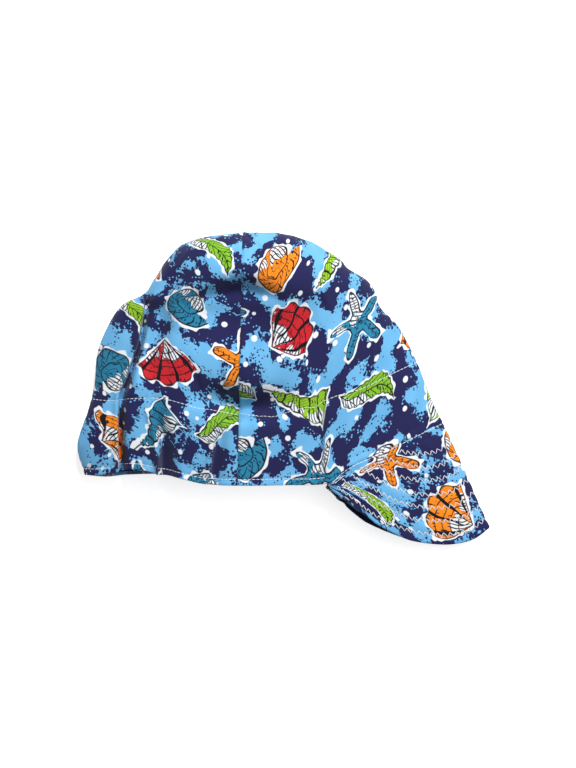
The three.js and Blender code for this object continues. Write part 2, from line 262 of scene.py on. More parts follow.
def folded(place):
    """How far the folds lower the cloth at places seen from above, and how far they carry it aside."""
    drop, aside = np.zeros(place.shape[:-1]), np.zeros(place.shape)
    for behind, ahead, lip, lean, points in crown_folds:
        line = smooth_line([(*crown_place(x, y), depth) for x, y, depth in points], fold_steps)
        reach = fold_reach * max(max(behind, ahead) * fold_width, lean_reach if lean else 0)
        low, high = line[:, :2].min(axis=0) - reach, line[:, :2].max(axis=0) + reach
        near = np.all((place > low) & (place < high), axis=-1)
        way = np.gradient(line[:, :2], axis=0)
        stride = length(way)
        way /= stride[:, None]
        offset = place[near][:, None] - line[:, :2]
        gap = length(offset)
        over = way[:, 0] * offset[..., 1] - way[:, 1] * offset[..., 0]
        closest = gap.argmin(axis=-1)[:, None]
        past = np.abs(np.take_along_axis((offset * way).sum(axis=-1), closest, 1)) - stride[closest]
        past = np.maximum(past, 0)[:, 0]
        sideways = np.take_along_axis(over, closest, 1)[:, 0]
        nearness = gap / (gap.min(axis=-1, keepdims=True) + blend_floor)
        weight = np.exp(blend_sharpness - blend_sharpness * nearness**2)
        weight /= weight.sum(axis=-1, keepdims=True)
        depth = (weight * line[:, 2]).sum(axis=-1)
        left = np.clip(0.5 + side_step * (weight * over / (gap + 1e-6)).sum(axis=-1), 0, 1)
        away = np.hypot(sideways, past) / ((ahead + (behind - ahead) * left) * fold_width)
        raised = left * lip * np.exp(-((away - lip_place) ** 2))
        drop[near] += depth * fold_depth * (np.exp(-(away**2)) - raised)
        start = lean_start * behind * fold_width
        from_lip = start - sideways
        spread = np.where(from_lip < 0, lean_reach, lean_under * start)
        carry = lean / mm_in_metre * np.exp(-((from_lip / spread) ** 2) - (past / lean_end) ** 2)
        carry *= depth / np.abs(line[:, 2]).max()
        ahead_way = weight @ np.stack([way[:, 1], -way[:, 0]], axis=-1)
        aside[near] += carry[:, None] * ahead_way
    return drop, aside


def crown_face(turn, rise):
    """The outer face of the crown, before its small wrinkles."""
    turn, rise = np.broadcast_arrays(turn, rise)
    wound = np.arctan2(np.sin(turn), np.cos(turn))
    across = across_at(wound, rise)
    place = plan_point(across, rise)
    edge = lie_height_at(rise, back_edge) * (1 - across) + lie_height_at(rise, front_edge) * across
    middle = plan_point(side_seam_across(rise), rise)
    from_top = length(middle - back_line[-1])
    full = rolled(across / back_roll_share) * rolled((1 - across) / front_roll_share)
    full = full * rolled(from_top / top_roll)
    drop, aside = folded(place)
    over = edge + (lie_height_at(rise, crest) - edge) * full - drop * full
    flat = rolled(across / under_edge_share) * rolled((1 - across) / under_edge_share)
    under = edge * (1 - flat * rolled(from_top / under_roll))
    short = rim_short * swell(across / rim_short_end) * np.clip(1 - rise / band_rise, 0, 1)
    short = np.where(wound >= 0, short, 0)
    height = np.where(wound >= 0, over, under)
    place = place + np.where(wound >= 0, full, 0)[..., None] * aside
    return np.stack([place[..., 0], place[..., 1] + short, height], axis=-1)


def outward(face):
    """Outward ways of a grid of points whose first index runs round and whose second runs up."""
    return unit(np.cross(np.gradient(face, axis=0), np.gradient(face, axis=1)))


def running_length(face, axis):
    """How far along its row or column each point of a grid lies."""
    steps = length(np.diff(face, axis=axis))
    pad = [(0, 0), (0, 0)]
    pad[axis] = (1, 0)
    return np.pad(np.cumsum(steps, axis=axis), pad)


def cloth_place(face, grain):
    """Where each point lies on the flat cloth: across from the grain column, and up from the edge
    by the usual step between two rows."""
    round_run = running_length(face, 0)
    steps = np.median(length(np.diff(face, axis=1)), axis=0)
    up_run = np.concatenate([[0], np.cumsum(steps)])
    return round_run - round_run[grain], np.broadcast_to(up_run, round_run.shape)


def soft_noise(x, y, seed, size=64):
    """Smooth noise from -1 to 1 with one swell for each unit of x and y."""
    lattice = np.random.default_rng(seed).uniform(-1, 1, (size, size))
    column, row = np.floor(x).astype(int), np.floor(y).astype(int)
    across, up = x - column, y - row
    across, up = across**2 * (3 - 2 * across), up**2 * (3 - 2 * up)

    def corner(i, j):
        return lattice[(column + i) % size, (row + j) % size]

    low = corner(0, 0) * (1 - across) + corner(1, 0) * across
    high = corner(0, 1) * (1 - across) + corner(1, 1) * across
    return low * (1 - up) + high * up


# The crown's cloth
# Each panel is a wall of cotton with a rounded rim. The seams and the two lines of topstitching
# pull it in, so it puckers beside them, and soft creases run up from the rim.
hem_stitch = 0.0038
band_stitch_across = (0.0, 0.08, 0.20, 0.33, 0.38, 0.44, 0.52, 0.565, 0.61, 0.70, 0.80, 1.0)
band_stitch_height = (
    0.0528, 0.0535, 0.0538, 0.0535, 0.0522, 0.0484, 0.0468, 0.0508, 0.0535, 0.0489, 0.0458, 0.0455,
)
seam_dip, seam_dip_width = 0.0008, 0.0012
stitch_dip, stitch_dip_width = 0.0005, 0.0011
pucker_height, pucker_reach, pucker_pitch = 0.00024, 0.006, 0.0085
pucker_sway, sway_length, swing_length = 5.0, 0.02, 0.03
stitch_pucker, seam_pucker, hem_pucker_shift = 0.7, 0.3, 0.004
crease_height = 0.00055
creases = [(0.6, 0.016, 0.034), (0.4, 0.0075, 0.017)]  # share of the height, width, length
cloth_scale = 10.0  # the cloth's map counts in decimetres


def band_stitch_at(across):
    return np.interp(across, band_stitch_across, band_stitch_height)


def cloth_relief(around, up, across, seam_gap, seed):
    """Height of the small wrinkles over the smooth face."""
    from_band = up - band_stitch_at(across)
    from_hem = up - hem_stitch

    def pucker(distance, along, own_seed):
        phase = pucker_sway * soft_noise(along / sway_length, distance / sway_length, own_seed)
        wave = np.sin(2 * math.pi * along / pucker_pitch + phase)
        wave *= 1 + soft_noise(along / swing_length, distance / swing_length, own_seed + 5)
        return pucker_height * wave * np.exp(-np.abs(distance) / pucker_reach)

    relief = crease_height * sum(
        share * soft_noise(around / width, up / reach, seed + number)
        for number, (share, width, reach) in enumerate(creases)
    )
    relief += stitch_pucker * pucker(from_band, around, seed + 2)
    relief += stitch_pucker * pucker(from_hem, around + hem_pucker_shift, seed + 3)
    relief += seam_pucker * pucker(seam_gap, up, seed + 4)
    for distance, depth, width in (
        (from_band, stitch_dip, stitch_dip_width),
        (from_hem, stitch_dip, stitch_dip_width),
        (seam_gap, seam_dip, seam_dip_width),
    ):
        relief -= depth * np.exp(-((distance / width) ** 2))
    return relief


def in_scene(name, data):
    """An object in the scene made of a mesh, a camera or a light."""
    thing = bpy.data.objects.new(name, data)
    bpy.context.scene.collection.objects.link(thing)
    return thing


def wall_mesh(name, outer, out, thickness, around, up, turned, cuts_at, cloths, closed=False):
    """A wall of cloth behind a grid of outer points, with its first and last rows rounded over.
    Its outer faces are of the first cloth and its inner faces of the second."""
    round_rows = 4
    inner = outer - out * thickness
    middle = (outer + inner) / 2
    rise = unit(np.gradient(outer, axis=1))
    angles = np.linspace(90, -90, round_rows + 2)[1:-1] * math.pi / 180
    half = thickness / 2

    def lip(row, way):
        return [
            middle[:, row] + half * (math.sin(a) * out[:, row] + way * math.cos(a) * rise[:, row])
            for a in angles
        ]

    columns, rows = outer.shape[:2]
    loop = [outer[:, j] for j in range(rows)] + lip(-1, 1)
    loop += [inner[:, j] for j in range(rows - 1, -1, -1)] + lip(0, -1)[::-1]
    grid = np.stack(loop, axis=1)
    ring = grid.shape[1]
    # the lip at the last row was laid from outside in, the one at the first row from inside out
    back_rows = np.concatenate([
        np.arange(rows), np.full(round_rows, rows - 1), np.arange(rows - 1, -1, -1),
        np.zeros(round_rows, int),
    ])
    cos, sin = math.cos(turned), math.sin(turned)
    flat_x, flat_y = around[:, back_rows], up[:, back_rows]
    map_x = ((flat_x * cos - flat_y * sin) * cloth_scale).reshape(-1)
    map_y = ((flat_x * sin + flat_y * cos) * cloth_scale).reshape(-1)

    i = np.arange(columns if closed else columns - 1)[:, None]
    j = np.arange(ring)[None, :]

    def at(column, row):
        return (column % columns) * ring + row % ring

    faces = np.stack([at(i, j), at(i + 1, j), at(i + 1, j + 1), at(i, j + 1)], axis=-1)
    within = (j >= rows + round_rows // 2) & (j < ring - round_rows // 2 - 1)
    inside = np.broadcast_to(within, faces.shape[:2]).reshape(-1)
    # a wall that isn't closed ends in squares at its first and last columns, with the round ends
    # of its lips above and below them
    squares, round_ends = [], []
    ends = () if closed else ((0, 1), ((columns - 1) * ring, -1))
    for start, way in ends:
        facing = start + ring - round_rows - 1
        for k in range(rows - 1):
            squares.append([start + k, start + k + 1, facing - k - 1, facing - k][::way])
        top = list(range(start + rows - 1, start + rows + round_rows + 1))
        foot = list(range(facing, start + ring)) + [start]
        round_ends += [top[::way], foot[::way]]
    inside = np.append(inside, np.zeros(len(squares + round_ends), bool))
    mesh = bpy.data.meshes.new(name)
    quads = faces.reshape(-1, 4).tolist()
    mesh.from_pydata(grid.reshape(-1, 3).tolist(), [], quads + squares + round_ends)
    mesh.polygons.foreach_set("material_index", inside.astype(np.int32))
    mesh.polygons.foreach_set("use_smooth", np.ones(len(mesh.polygons), bool))
    layer = mesh.uv_layers.new(name="ClothPlan")
    corner = np.empty(len(mesh.loops), np.int32)
    mesh.loops.foreach_get("vertex_index", corner)
    sizes = np.empty(len(mesh.polygons), np.int32)
    mesh.polygons.foreach_get("loop_total", sizes)
    shift = np.where(np.repeat(inside, sizes)[:, None], cuts_at[1], cuts_at[0])
    flat = np.stack([map_x[corner], map_y[corner]], axis=-1) + shift
    layer.uv.foreach_set("vector", flat.astype(np.float32).reshape(-1))
    mesh.update()
    for cloth in cloths:
        mesh.materials.append(cloth)
    return in_scene(name, mesh)


# Printed cotton
# Plain-weave quilting cotton with a bold print: ragged dark blots and specks on sky blue, white
# bubbles, and leaves, shells, stars and curls in four colours with white edges and black ink.


def linear(red, green, blue):
    """A colour given as it looks on screen, from 0 to 255."""
    values = []
    for value in (red, green, blue):
        value /= 255
        values.append(value / 12.92 if value <= 0.04045 else ((value + 0.055) / 1.055) ** 2.4)
    return (*values, 1.0)


class Value:
    """A number that nodes work out. It adds, subtracts and multiplies as a plain number does."""

    def __init__(self, draft, socket):
        self.draft = draft
        self.socket = socket

    def __add__(self, other):
        return self.draft.sum("ADD", self, other)

    def __sub__(self, other):
        return self.draft.sum("SUBTRACT", self, other)

    def __rsub__(self, other):
        return self.draft.sum("SUBTRACT", other, self)

    def __mul__(self, other):
        return self.draft.sum("MULTIPLY", self, other)

    def __truediv__(self, other):
        return self.draft.sum("DIVIDE", self, other)


class Draft:
    """Adds nodes to one tree. A mask is 1 where it holds and 0 elsewhere: the product of two masks
    holds where both do, and either holds where one of them does."""

    def __init__(self, tree):
        self.tree = tree

    def feed(self, socket, value):
        if isinstance(value, Value):
            value = value.socket
        if isinstance(value, bpy.types.NodeSocket):
            self.tree.links.new(value, socket)
        else:
            socket.default_value = value

    def node(self, kind, values=(), **settings):
        node = self.tree.nodes.new("ShaderNode" + kind)
        for name, value in settings.items():
            setattr(node, name, value)
        for socket, value in values:
            self.feed(node.inputs[socket], value)
        return node

    def sum(self, operation, *values):
        node = self.node("Math", enumerate(values), operation=operation)
        return Value(self, node.outputs[0])

    def vector(self, operation, first, second):
        pairs = [(0, first), ("Scale" if operation == "SCALE" else 1, second)]
        return self.node("VectorMath", pairs, operation=operation).outputs[0]

    def parts(self, kind, socket):
        """The three parts of a place, XYZ, or of a Color."""
        return [Value(self, part) for part in self.node("Separate" + kind, [(0, socket)]).outputs]

    def place(self, x, y):
        return self.node("CombineXYZ", [(0, x), (1, y)]).outputs[0]

    def size(self, value):
        return self.sum("ABSOLUTE", value)

    def sine(self, value):
        return self.sum("SINE", value)

    def power(self, base, exponent):
        return self.sum("POWER", base, exponent)

    def distance(self, x, y):
        return self.sum("SQRT", x * x + y * y)

    def either(self, a, b):
        return self.sum("MAXIMUM", a, b)

    def below(self, value, limit, soft=0.02):
        """1 where value is under limit, 0 where it is over, with a soft step between."""
        step = self.sum("MULTIPLY_ADD", limit - value, 1 / soft, 0.5)
        step.socket.node.use_clamp = True
        return step

    def line(self, value, width, soft=0.06):
        """1 on lines where value passes a whole number. Width is a share of the pitch."""
        off = self.size(self.sum("FRACT", value + 0.5) - 0.5)
        return self.below(off, width / 2, soft)

    def noise(self, place, scale, detail=0.0, rough=0.5, warp=0.0):
        values = [("Vector", place), ("Scale", scale), ("Detail", detail)]
        values += [("Roughness", rough), ("Distortion", warp)]
        return Value(self, self.node("TexNoise", values, noise_dimensions="2D").outputs[0])

    def cells(self, place, size):
        """How far a place lies from the middle of its ragged cell, and three chances of the cell."""
        values = [("Vector", place), ("Scale", 1 / size)]
        far, colour = self.node("TexVoronoi", values, voronoi_dimensions="2D").outputs[:2]
        return [Value(self, far)] + self.parts("Color", colour)

    def mix(self, share, a, b):
        return self.node("Mix", [(0, share), (6, a), (7, b)], data_type="RGBA").outputs[2]


def open_group(name, outputs, kind="Float"):
    """A new group that takes a place. Gives its draft, the place and the sockets of its outputs."""
    tree = bpy.data.node_groups.new(name, "ShaderNodeTree")
    tree.interface.new_socket("Place", in_out="INPUT", socket_type="NodeSocketVector")
    for output in outputs:
        tree.interface.new_socket(output, in_out="OUTPUT", socket_type="NodeSocket" + kind)
    place = tree.nodes.new("NodeGroupInput").outputs["Place"]
    return Draft(tree), place, tree.nodes.new("NodeGroupOutput").inputs


hatch_lines, hatch_slant, hatch_width = 10.0, 0.6, 0.34
edge_wobble, edge_least = 0.18, -0.02
pen_wobble, pen_least = 0.040, -0.006


def motif_group(name, draw):
    """A group that turns a place, from -1 to 1, into the masks of one motif. Its drawing gives how
    far outside the motif's outline a place lies, and the lines within it."""
    draft, place, ends = open_group(name, ("Fill", "Edge", "Ink"))
    x, y, _ = draft.parts("XYZ", place)
    far, lines = draw(draft, x, y)
    inside = draft.below(far, 0.0)
    # a white edge of uneven width, and white where the colour runs out
    edge = draft.below(far, draft.noise(place, 5.0) * edge_wobble + edge_least) - inside
    sheen = draft.noise(draft.vector("ADD", place, (7.0, 3.0, 0.0)), 2.6, 1.5)
    white = draft.below(sheen * 1.5 + y, 0.50, 0.03) * draft.below(far, -0.03)
    # ink round the motif, along its lines, and as hatching
    rim = draft.below(draft.size(far + 0.012), draft.noise(place, 3.1) * pen_wobble + pen_least)
    hatch = draft.line((x + y * hatch_slant) * hatch_lines, hatch_width, 0.12)
    hatch *= draft.either(draft.below(0.58, draft.noise(place, 9.0), 0.03), white)
    ink = draft.either(draft.either(rim, lines), hatch)
    draft.feed(ends["Fill"], inside - inside * white)
    draft.feed(ends["Edge"], draft.either(edge, white))
    draft.feed(ends["Ink"], ink * draft.below(far, 0.01))
    return draft.tree


def draw_leaf(draft, x, y):
    x, y = x * 1.1, y * 1.1
    off = draft.size(y - draft.sine(x * 2.6 + 0.5) * 0.30)
    room = draft.either(1.0 - x * x, 0.0)
    width = draft.power(room, 1.25) * (x * -0.10 + 0.36)
    far = off - width + draft.sine(x * 30.0) * 0.022 * room
    veins = draft.line((x - off * 0.9) * 5.5, 0.16)
    return draft.either(far, draft.size(x) - 0.97), draft.either(veins, draft.below(off, 0.020))


def draw_shell(draft, x, y):
    x, y = x * 1.12, y * 1.12 + 0.72
    out = draft.distance(x, y)
    angle = draft.sum("ARCTAN2", x, y)
    ribs = draft.sum("COSINE", angle * 13.0)
    reach = ribs * 0.055 + draft.sum("COSINE", angle * 0.55) * 1.42
    far = draft.either(out - reach, (draft.size(angle) - 0.9) * out)
    bands = draft.line(out * 4.2, 0.12) * draft.below(0.45, out, 0.05)
    return far, draft.either(draft.below(ribs, -0.78, 0.12), bands)


def draw_star(draft, x, y):
    out = draft.distance(x, y)
    turn = draft.sum("ARCTAN2", x, y) * 5.0
    arm = draft.sum("COSINE", turn) * 0.5 + 0.5
    reach = draft.power(arm, 2.2) * 0.6 + 0.3
    slope = draft.power(arm, 1.2) * draft.sine(turn) * 3.3 / (out + 0.02)
    far = (out - reach) / draft.sum("SQRT", slope * slope + 1.0)
    spine = draft.size(draft.sine(turn * 0.5)) * out
    rings = draft.line(out * 7.0, 0.2) * draft.below(spine, 0.09)
    return far, draft.either(draft.below(spine, 0.016), rings)


def draw_curl(draft, x, y):
    out = draft.distance(x, y)
    turn = draft.sum("ARCTAN2", y, x) * (1 / (2 * math.pi)) + 0.5
    far = out - draft.power(2.0, turn) * 0.40
    whorl = draft.sum("LOGARITHM", draft.either(out, 0.05), 2.0) - turn - math.log2(0.40)
    ribs = draft.line(turn * 15.0 + whorl * 1.6, 0.16) * draft.below(-0.75, whorl, 0.05)
    return far, draft.either(draft.line(whorl, 0.13), ribs)


def draw_cone(draft, x, y):
    along = draft.either(x + 0.96, 0.001)
    turns = draft.power(along, 0.7) * 5.2 + y * 1.1
    swelling = draft.size(draft.sine(turns * math.pi)) * 0.035
    width = swelling + draft.power(along, 0.85) * 0.23
    far = draft.either(draft.size(y) - width, x - 0.86)
    cross = draft.line((x - y * 1.3) * 8.0, 0.13) * draft.below(-0.1, y, 0.05)
    return far, draft.either(draft.line(turns, 0.15), cross)


green, dark_green, teal = linear(146, 196, 40), linear(128, 184, 42), linear(38, 128, 165)
orange, red = linear(246, 138, 28), linear(200, 34, 44)
motifs = [
    # the drawing, and its two colours
    (motif_group("leaf print", draw_leaf), green, dark_green),
    (motif_group("shell print", draw_shell), orange, red),
    (motif_group("star print", draw_star), teal, orange),
    (motif_group("curl print", draw_curl), teal, orange),
    (motif_group("cone print", draw_cone), green, teal),
]
sky_blue = linear(115, 186, 231)
deep_blue = linear(98, 170, 221)
blot_navy = linear(30, 31, 80)
ink_black = linear(9, 9, 21)
print_white = linear(236, 240, 246)
wrong_side = linear(96, 128, 178)
# sizes of the print, in mm
blot_size, crowd_size, lobe_size, spike_size = 19, 12, 3.1, 1.6
fleck_pitch, tint_size, bubble_pitch = 2.2, 14, 15
motif_pitch, motif_half = 50.0, 25.0
mm_in_map = 100.0
navy_level, bare_level = 0.538, 0.508
most_dark_flecks, most_pale_flecks = 0.72, 0.5
bubble_share, second_colour_share = 0.45, 0.5
lobe_depth, spike_depth, cell_middle = 0.17, 0.06, 0.4
dot_least, dot_spread = 0.20, 0.12
bubble_least, bubble_spread = 0.085, 0.06
hand_pace, hand_waver = 2.2, 0.16


def printed_cotton_group():
    """The colours of the whole print."""
    draft, map_place, ends = open_group("cotton print", ["Colour"], "Color")
    place = draft.vector("SCALE", map_place, mm_in_map)

    # dark blots with ragged edges, dark flecks round them and bare flecks within them
    blots = draft.noise(place, 1 / blot_size, 0.8, 0.4, 0.25)
    crowd = draft.noise(draft.vector("ADD", place, (53.0, 9.0, 0.0)), 1 / crowd_size)
    lobes = draft.cells(place, lobe_size)[0]
    spikes = draft.cells(place, spike_size)[0]
    level = (spikes - cell_middle) * spike_depth + ((lobes - cell_middle) * lobe_depth + blots)
    navy = draft.below(level, navy_level, 0.008)
    fleck_place = draft.vector("ADD", place, (31.0, 17.0, 0.0))
    far, chance, chance_of_size, _ = draft.cells(fleck_place, fleck_pitch)
    dots = draft.below(far, chance_of_size * dot_spread + dot_least, 0.06)
    dark_share = ((crowd - 0.38) * 0.75 - (blots - 0.52)) * 7.0
    dark_share = draft.sum("MINIMUM", dark_share, most_dark_flecks)
    navy = draft.either(navy, dots * draft.below(chance, dark_share, 0.01))
    pale_share = ((0.62 - crowd) * 0.6 - (0.52 - blots)) * 6.0
    pale_share = draft.sum("MINIMUM", pale_share, most_pale_flecks)
    bare = dots * draft.below(chance, pale_share, 0.01)
    navy -= bare * draft.below(level, bare_level, 0.01)
    tint = draft.mix(draft.noise(place, 1 / tint_size), sky_blue, deep_blue)
    colour = draft.mix(navy, tint, blot_navy)

    # white bubbles in some of the cells
    far, chance_of_size, chance, _ = draft.cells(place, bubble_pitch)
    bubble = draft.below(far, chance_of_size * bubble_spread + bubble_least, 0.03)
    colour = draft.mix(bubble * draft.below(chance, bubble_share, 0.01), colour, print_white)

    # one motif in each square of a staggered grid, turned by chance and drawn by an unsteady hand
    x, y, _ = draft.parts("XYZ", place)
    column = x * (1 / motif_pitch)
    column_id = draft.sum("FLOOR", column)
    row = y * (1 / motif_pitch) + draft.sum("FLOORED_MODULO", column_id, 2.0) * 0.5
    row_id = draft.sum("FLOOR", row)
    values = [("Vector", draft.place(column_id, row_id))]
    random = draft.node("TexWhiteNoise", values, noise_dimensions="3D").outputs["Color"]
    chance_of_turn, chance, _ = draft.parts("Color", random)
    local = draft.place(draft.sum("FRACT", column) - 0.5, draft.sum("FRACT", row) - 0.5)
    local = draft.vector("SCALE", local, motif_pitch / motif_half)
    values = [("Vector", local), ("Angle", chance_of_turn * (2 * math.pi))]
    turned = draft.node("VectorRotate", values, rotation_type="Z_AXIS").outputs[0]
    hand = (draft.noise(turned, hand_pace) - 0.5) * hand_waver
    drawn = draft.vector("ADD", turned, draft.place(hand, hand))

    kind = draft.sum("FLOORED_MODULO", column_id + row_id * 2.0, float(len(motifs)))
    second = draft.below(second_colour_share, chance, 0.001)
    for number, (group, first_colour, second_colour) in enumerate(motifs):
        motif = draft.node("Group", [("Place", drawn)], node_tree=group).outputs
        chosen = draft.sum("COMPARE", kind, float(number), 0.5)
        paint = draft.mix(second, first_colour, second_colour)
        for output, layer in (("Edge", print_white), ("Fill", paint), ("Ink", ink_black)):
            colour = draft.mix(chosen * motif[output], colour, layer)
    draft.feed(ends["Colour"], colour)
    return draft.tree


threads_in_map = 300.0
slubs_in_map = 160.0
# The first number darkens the cloth's colour in the low spots of the weave, a painted shade between
# the threads, and lightens it on the slubs.
weave_painted_shade_and_slub_tone, weave_rough, weave_strength, weave_depth = 0.10, 0.08, 0.35, 0.0002


def weave_group():
    """Height of plain weave: threads a third of a millimetre apart, over and under."""
    draft, place, ends = open_group("plain weave", ["Height"])
    x, y, _ = draft.parts("XYZ", place)
    warp, weft = (draft.sine(way * (threads_in_map * math.pi)) for way in (x, y))
    draft.feed(ends["Height"], warp * weft * 0.5 + draft.noise(place, slubs_in_map, 2.0))
    return draft.tree


cotton_print = printed_cotton_group()
plain_weave = weave_group()


def new_material(name):
    """A material, its draft and the sockets of its surface."""
    material = bpy.data.materials.new(name)
    material.use_nodes = True
    surface = material.node_tree.nodes["Principled BSDF"]
    return material, Draft(material.node_tree), surface.inputs


def cotton(name, fade, rough):
    """Printed cotton. The wrong side shows the print faded into the pale ground."""
    material, draft, surface = new_material(name)
    place = [("Place", draft.node("UVMap", uv_map="ClothPlan").outputs[0])]
    pattern = draft.node("Group", place, node_tree=cotton_print).outputs[0]
    weave = Value(draft, draft.node("Group", place, node_tree=plain_weave).outputs[0])
    colour = draft.mix(fade, pattern, wrong_side)
    # the weave darkens the colour in its low spots, painted shade between the threads, and its slubs
    # vary the tone
    tone = [("Color", colour), ("Value", weave * weave_painted_shade_and_slub_tone + 0.93)]
    bump = [("Height", weave), ("Strength", weave_strength), ("Distance", weave_depth)]
    draft.feed(surface["Base Color"], draft.node("HueSaturation", tone).outputs[0])
    draft.feed(surface["Roughness"], weave * weave_rough + (rough - weave_rough / 2))
    draft.feed(surface["Normal"], draft.node("Bump", bump).outputs[0])
    surface["Sheen Weight"].default_value = 0.12
    surface["Sheen Roughness"].default_value = 0.5
    surface["Specular IOR Level"].default_value = 0.25
    return material


crown_print = cotton("crown printed cotton", 0.0, 0.88)
crown_reverse = cotton("crown cotton wrong side", 0.62, 0.95)

# The four panels
# Cut alike from printed cotton and sewn right sides together. The right pair shows on top, and the
# left pair lies under it, pressed flat by the cap's own weight.
panel_rows = 190
panel_columns = {"right": 230, "left": 110}
apex_rise = 0.9965
slim_width = 0.03
peak_side_share = 0.45
panels = [
    # node, side, first turn, last turn, column at the side seam, angle and place of the cut on
    # the printed cloth
    # the back right panel's cut lays dark blots of the print along the deep fold behind the side seam:
    # print that also stands in for the fold's shade
    ("crown_back_right", "right", 0.0, math.pi / 2, -1, 0.3, (4.49, 5.38)),
    ("crown_front_right", "right", math.pi / 2, math.pi, 0, -0.2, (8.7, 1.3)),
    ("crown_back_left", "left", -math.pi / 2, 0.0, 0, 0.1, (15.2, 6.6)),
    ("crown_front_left", "left", -math.pi, -math.pi / 2, -1, -0.3, (21.7, 3.9)),
]
panel_faces = {}


def two_spans(first, middle, last, count, share):
    """Even steps to a middle value, with this share of them, and on to the last one."""
    before = round(count * share)
    low = np.linspace(first, middle, before, endpoint=False)
    return np.concatenate([low, np.linspace(middle, last, count - before)])


for number, (node, side, first, last, seam_column, angle, cut_at) in enumerate(panels):
    turns = np.linspace(first, last, panel_columns[side])
    if last == math.pi or first == -math.pi:
        end = math.copysign(peak_end_turn, last + first)
        turns = two_spans(first, end, last, panel_columns[side], peak_side_share)
    rises = np.linspace(0, apex_rise, panel_rows)
    face = crown_face(turns[:, None], rises[None, :])
    out = outward(face)
    around, up = cloth_place(face, seam_column)
    run = running_length(face, 0)
    seam_gap = np.minimum(run, run[-1] - run)
    slim = np.clip(run[-1] / slim_width, 0, 1)
    across = across_at(turns[:, None], rises[None, :])
    relief = cloth_relief(around, up, across, seam_gap, 10 * number) * slim
    face = face + out * relief[..., None]
    face[..., 2] = np.maximum(face[..., 2], 0)
    out = outward(face)
    panel_faces[node] = (turns, rises, across, face, out)
    piece = wall_mesh(
        node + "_cloth", face, out, crown_cloth, around, up, angle, (cut_at, cut_at),
        (crown_print, crown_reverse),
    )
    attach(piece, "root")
    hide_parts(node)

# Sweatband
# A deep strip of the same cotton, turned inside the rim with its wrong side towards the crown. The
# hem stitching holds its lower edge and the band stitching its upper one.
band_cloth = 0.0011
band_inset = 0.0022
band_behind = crown_cloth + 0.0006
band_wave, band_wave_width, band_wave_length, band_wave_seed = 0.0003, 0.012, 0.03, 71
band_columns, band_rows = 420, 44
band_over_stitch = 0.0025
# the cut for the inner faces lays dark blots of the print where the band shows in the gap under the
# near rim: print that also stands in for the shade there
band_cuts_at = (2.0, 11.0), (4.94, 5.10)
band_turns = np.linspace(-math.pi, math.pi, band_columns, endpoint=False)
band_top = band_stitch_at(across_at(band_turns, np.zeros(band_columns))) + band_over_stitch
band_rises = np.linspace(band_inset, band_top, band_rows, axis=1) / meridian_length
band_face = crown_face(band_turns[:, None], band_rises)
round_about = np.roll(band_face, -1, axis=0) - np.roll(band_face, 1, axis=0)
band_out = unit(np.cross(round_about, np.gradient(band_face, axis=1)))
band_around, band_up = cloth_place(band_face, band_columns // 2)
band_waves = soft_noise(band_around / band_wave_width, band_up / band_wave_length, band_wave_seed)
band_face = band_face - band_out * (band_behind + band_wave * np.abs(band_waves))[..., None]
sweatband = wall_mesh(
    "sweatband_cloth", band_face, band_out, band_cloth, band_around, band_up,
    0.0, band_cuts_at, (crown_reverse, cotton("sweatband cotton", 0.0, 0.92)), closed=True,
)
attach(sweatband, "root")
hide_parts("sweatband")

# Peak
# Several layers of cotton quilted together and sewn to the front of the rim. It is folded in two
# along its middle, with its left half flat under the right one.
peak_length = 0.080
peak_lean = math.radians(24)
peak_end_width = 0.003
peak_cloth = 0.0026
peak_short = 0.004
peak_short_start = 0.45
peak_droop = 0.4
peak_gap = 0.0002
peak_columns, peak_rows = 260, 90
peak_cut_angle = 0.6
# the cut for the inner faces lays dark blots of the print on the strip of the folded-under half that
# shows beside the upper half: print that also stands in for that strip's shade
peak_cuts_at = (27.5, 8.2), (4.70, 4.09)
right_half_share = 0.6
quilt_first, quilt_pitch = 0.0055, 0.0100
quilt_puff, quilt_channel, quilt_fade = 0.0004, 0.0021, 0.006
crumple, crumple_along, crumple_down, crumple_seed = 0.00035, 0.006, 0.0052, 81
seam_pull, seam_pull_width = 0.0005, 0.0012
# along, reach
peak_outline = [
    (0, 1), (0.159, 1.012), (0.316, 0.958), (0.459, 0.865), (0.592, 0.75),
    (0.726, 0.596), (0.841, 0.434), (0.919, 0.266), (0.969, 0.113), (1, 0),
]
peak_end_across = across_at(np.array([peak_end_turn]), np.zeros(1))[0]
peak_way = np.array([math.sin(peak_lean), -math.cos(peak_lean)])
peak_end_foot = plan_point(peak_end_across, 0)
peak_line = smooth_line([
    front_line[0] * (1 - along) + peak_end_foot * along
    + peak_way * (reach * peak_length + along * peak_end_width)
    for along, reach in peak_outline
])


def peak_face(turn, out, small=1e-3):
    """The outer face of the peak: out runs from the rim seam to the front edge."""
    turn, out = np.broadcast_arrays(turn, out)
    wound = np.arctan2(np.sin(turn), np.cos(turn))
    across = across_at(wound, np.zeros(wound.shape))
    back = np.clip((1 - across) / (1 - peak_end_across), 0, 1)
    seam = crown_face(wound, 0.0)
    up = crown_face(wound, small) - seam
    seam = seam - peak_gap * unit(up)
    edge = along_line(peak_line, back)
    ahead = along_line(peak_line, np.minimum(back + small, 1))
    way = unit(ahead - along_line(peak_line, back - small))
    short = peak_short * swell((back - peak_short_start) / (1 - peak_short_start))
    short = np.where(wound >= 0, short, 0)
    edge = edge + np.stack([way[..., 1], -way[..., 0]], axis=-1) * short[..., None]
    place = seam[..., :2] * (1 - out[..., None]) + edge * out[..., None]
    droop = np.where(wound < 0, 0, peak_droop * out * (1 - back**2))
    fold = lie_height_at(0.0, front_edge)
    height = seam[..., 2] - droop * np.maximum(seam[..., 2] - fold, 0)
    return np.concatenate([place, height[..., None]], axis=-1)


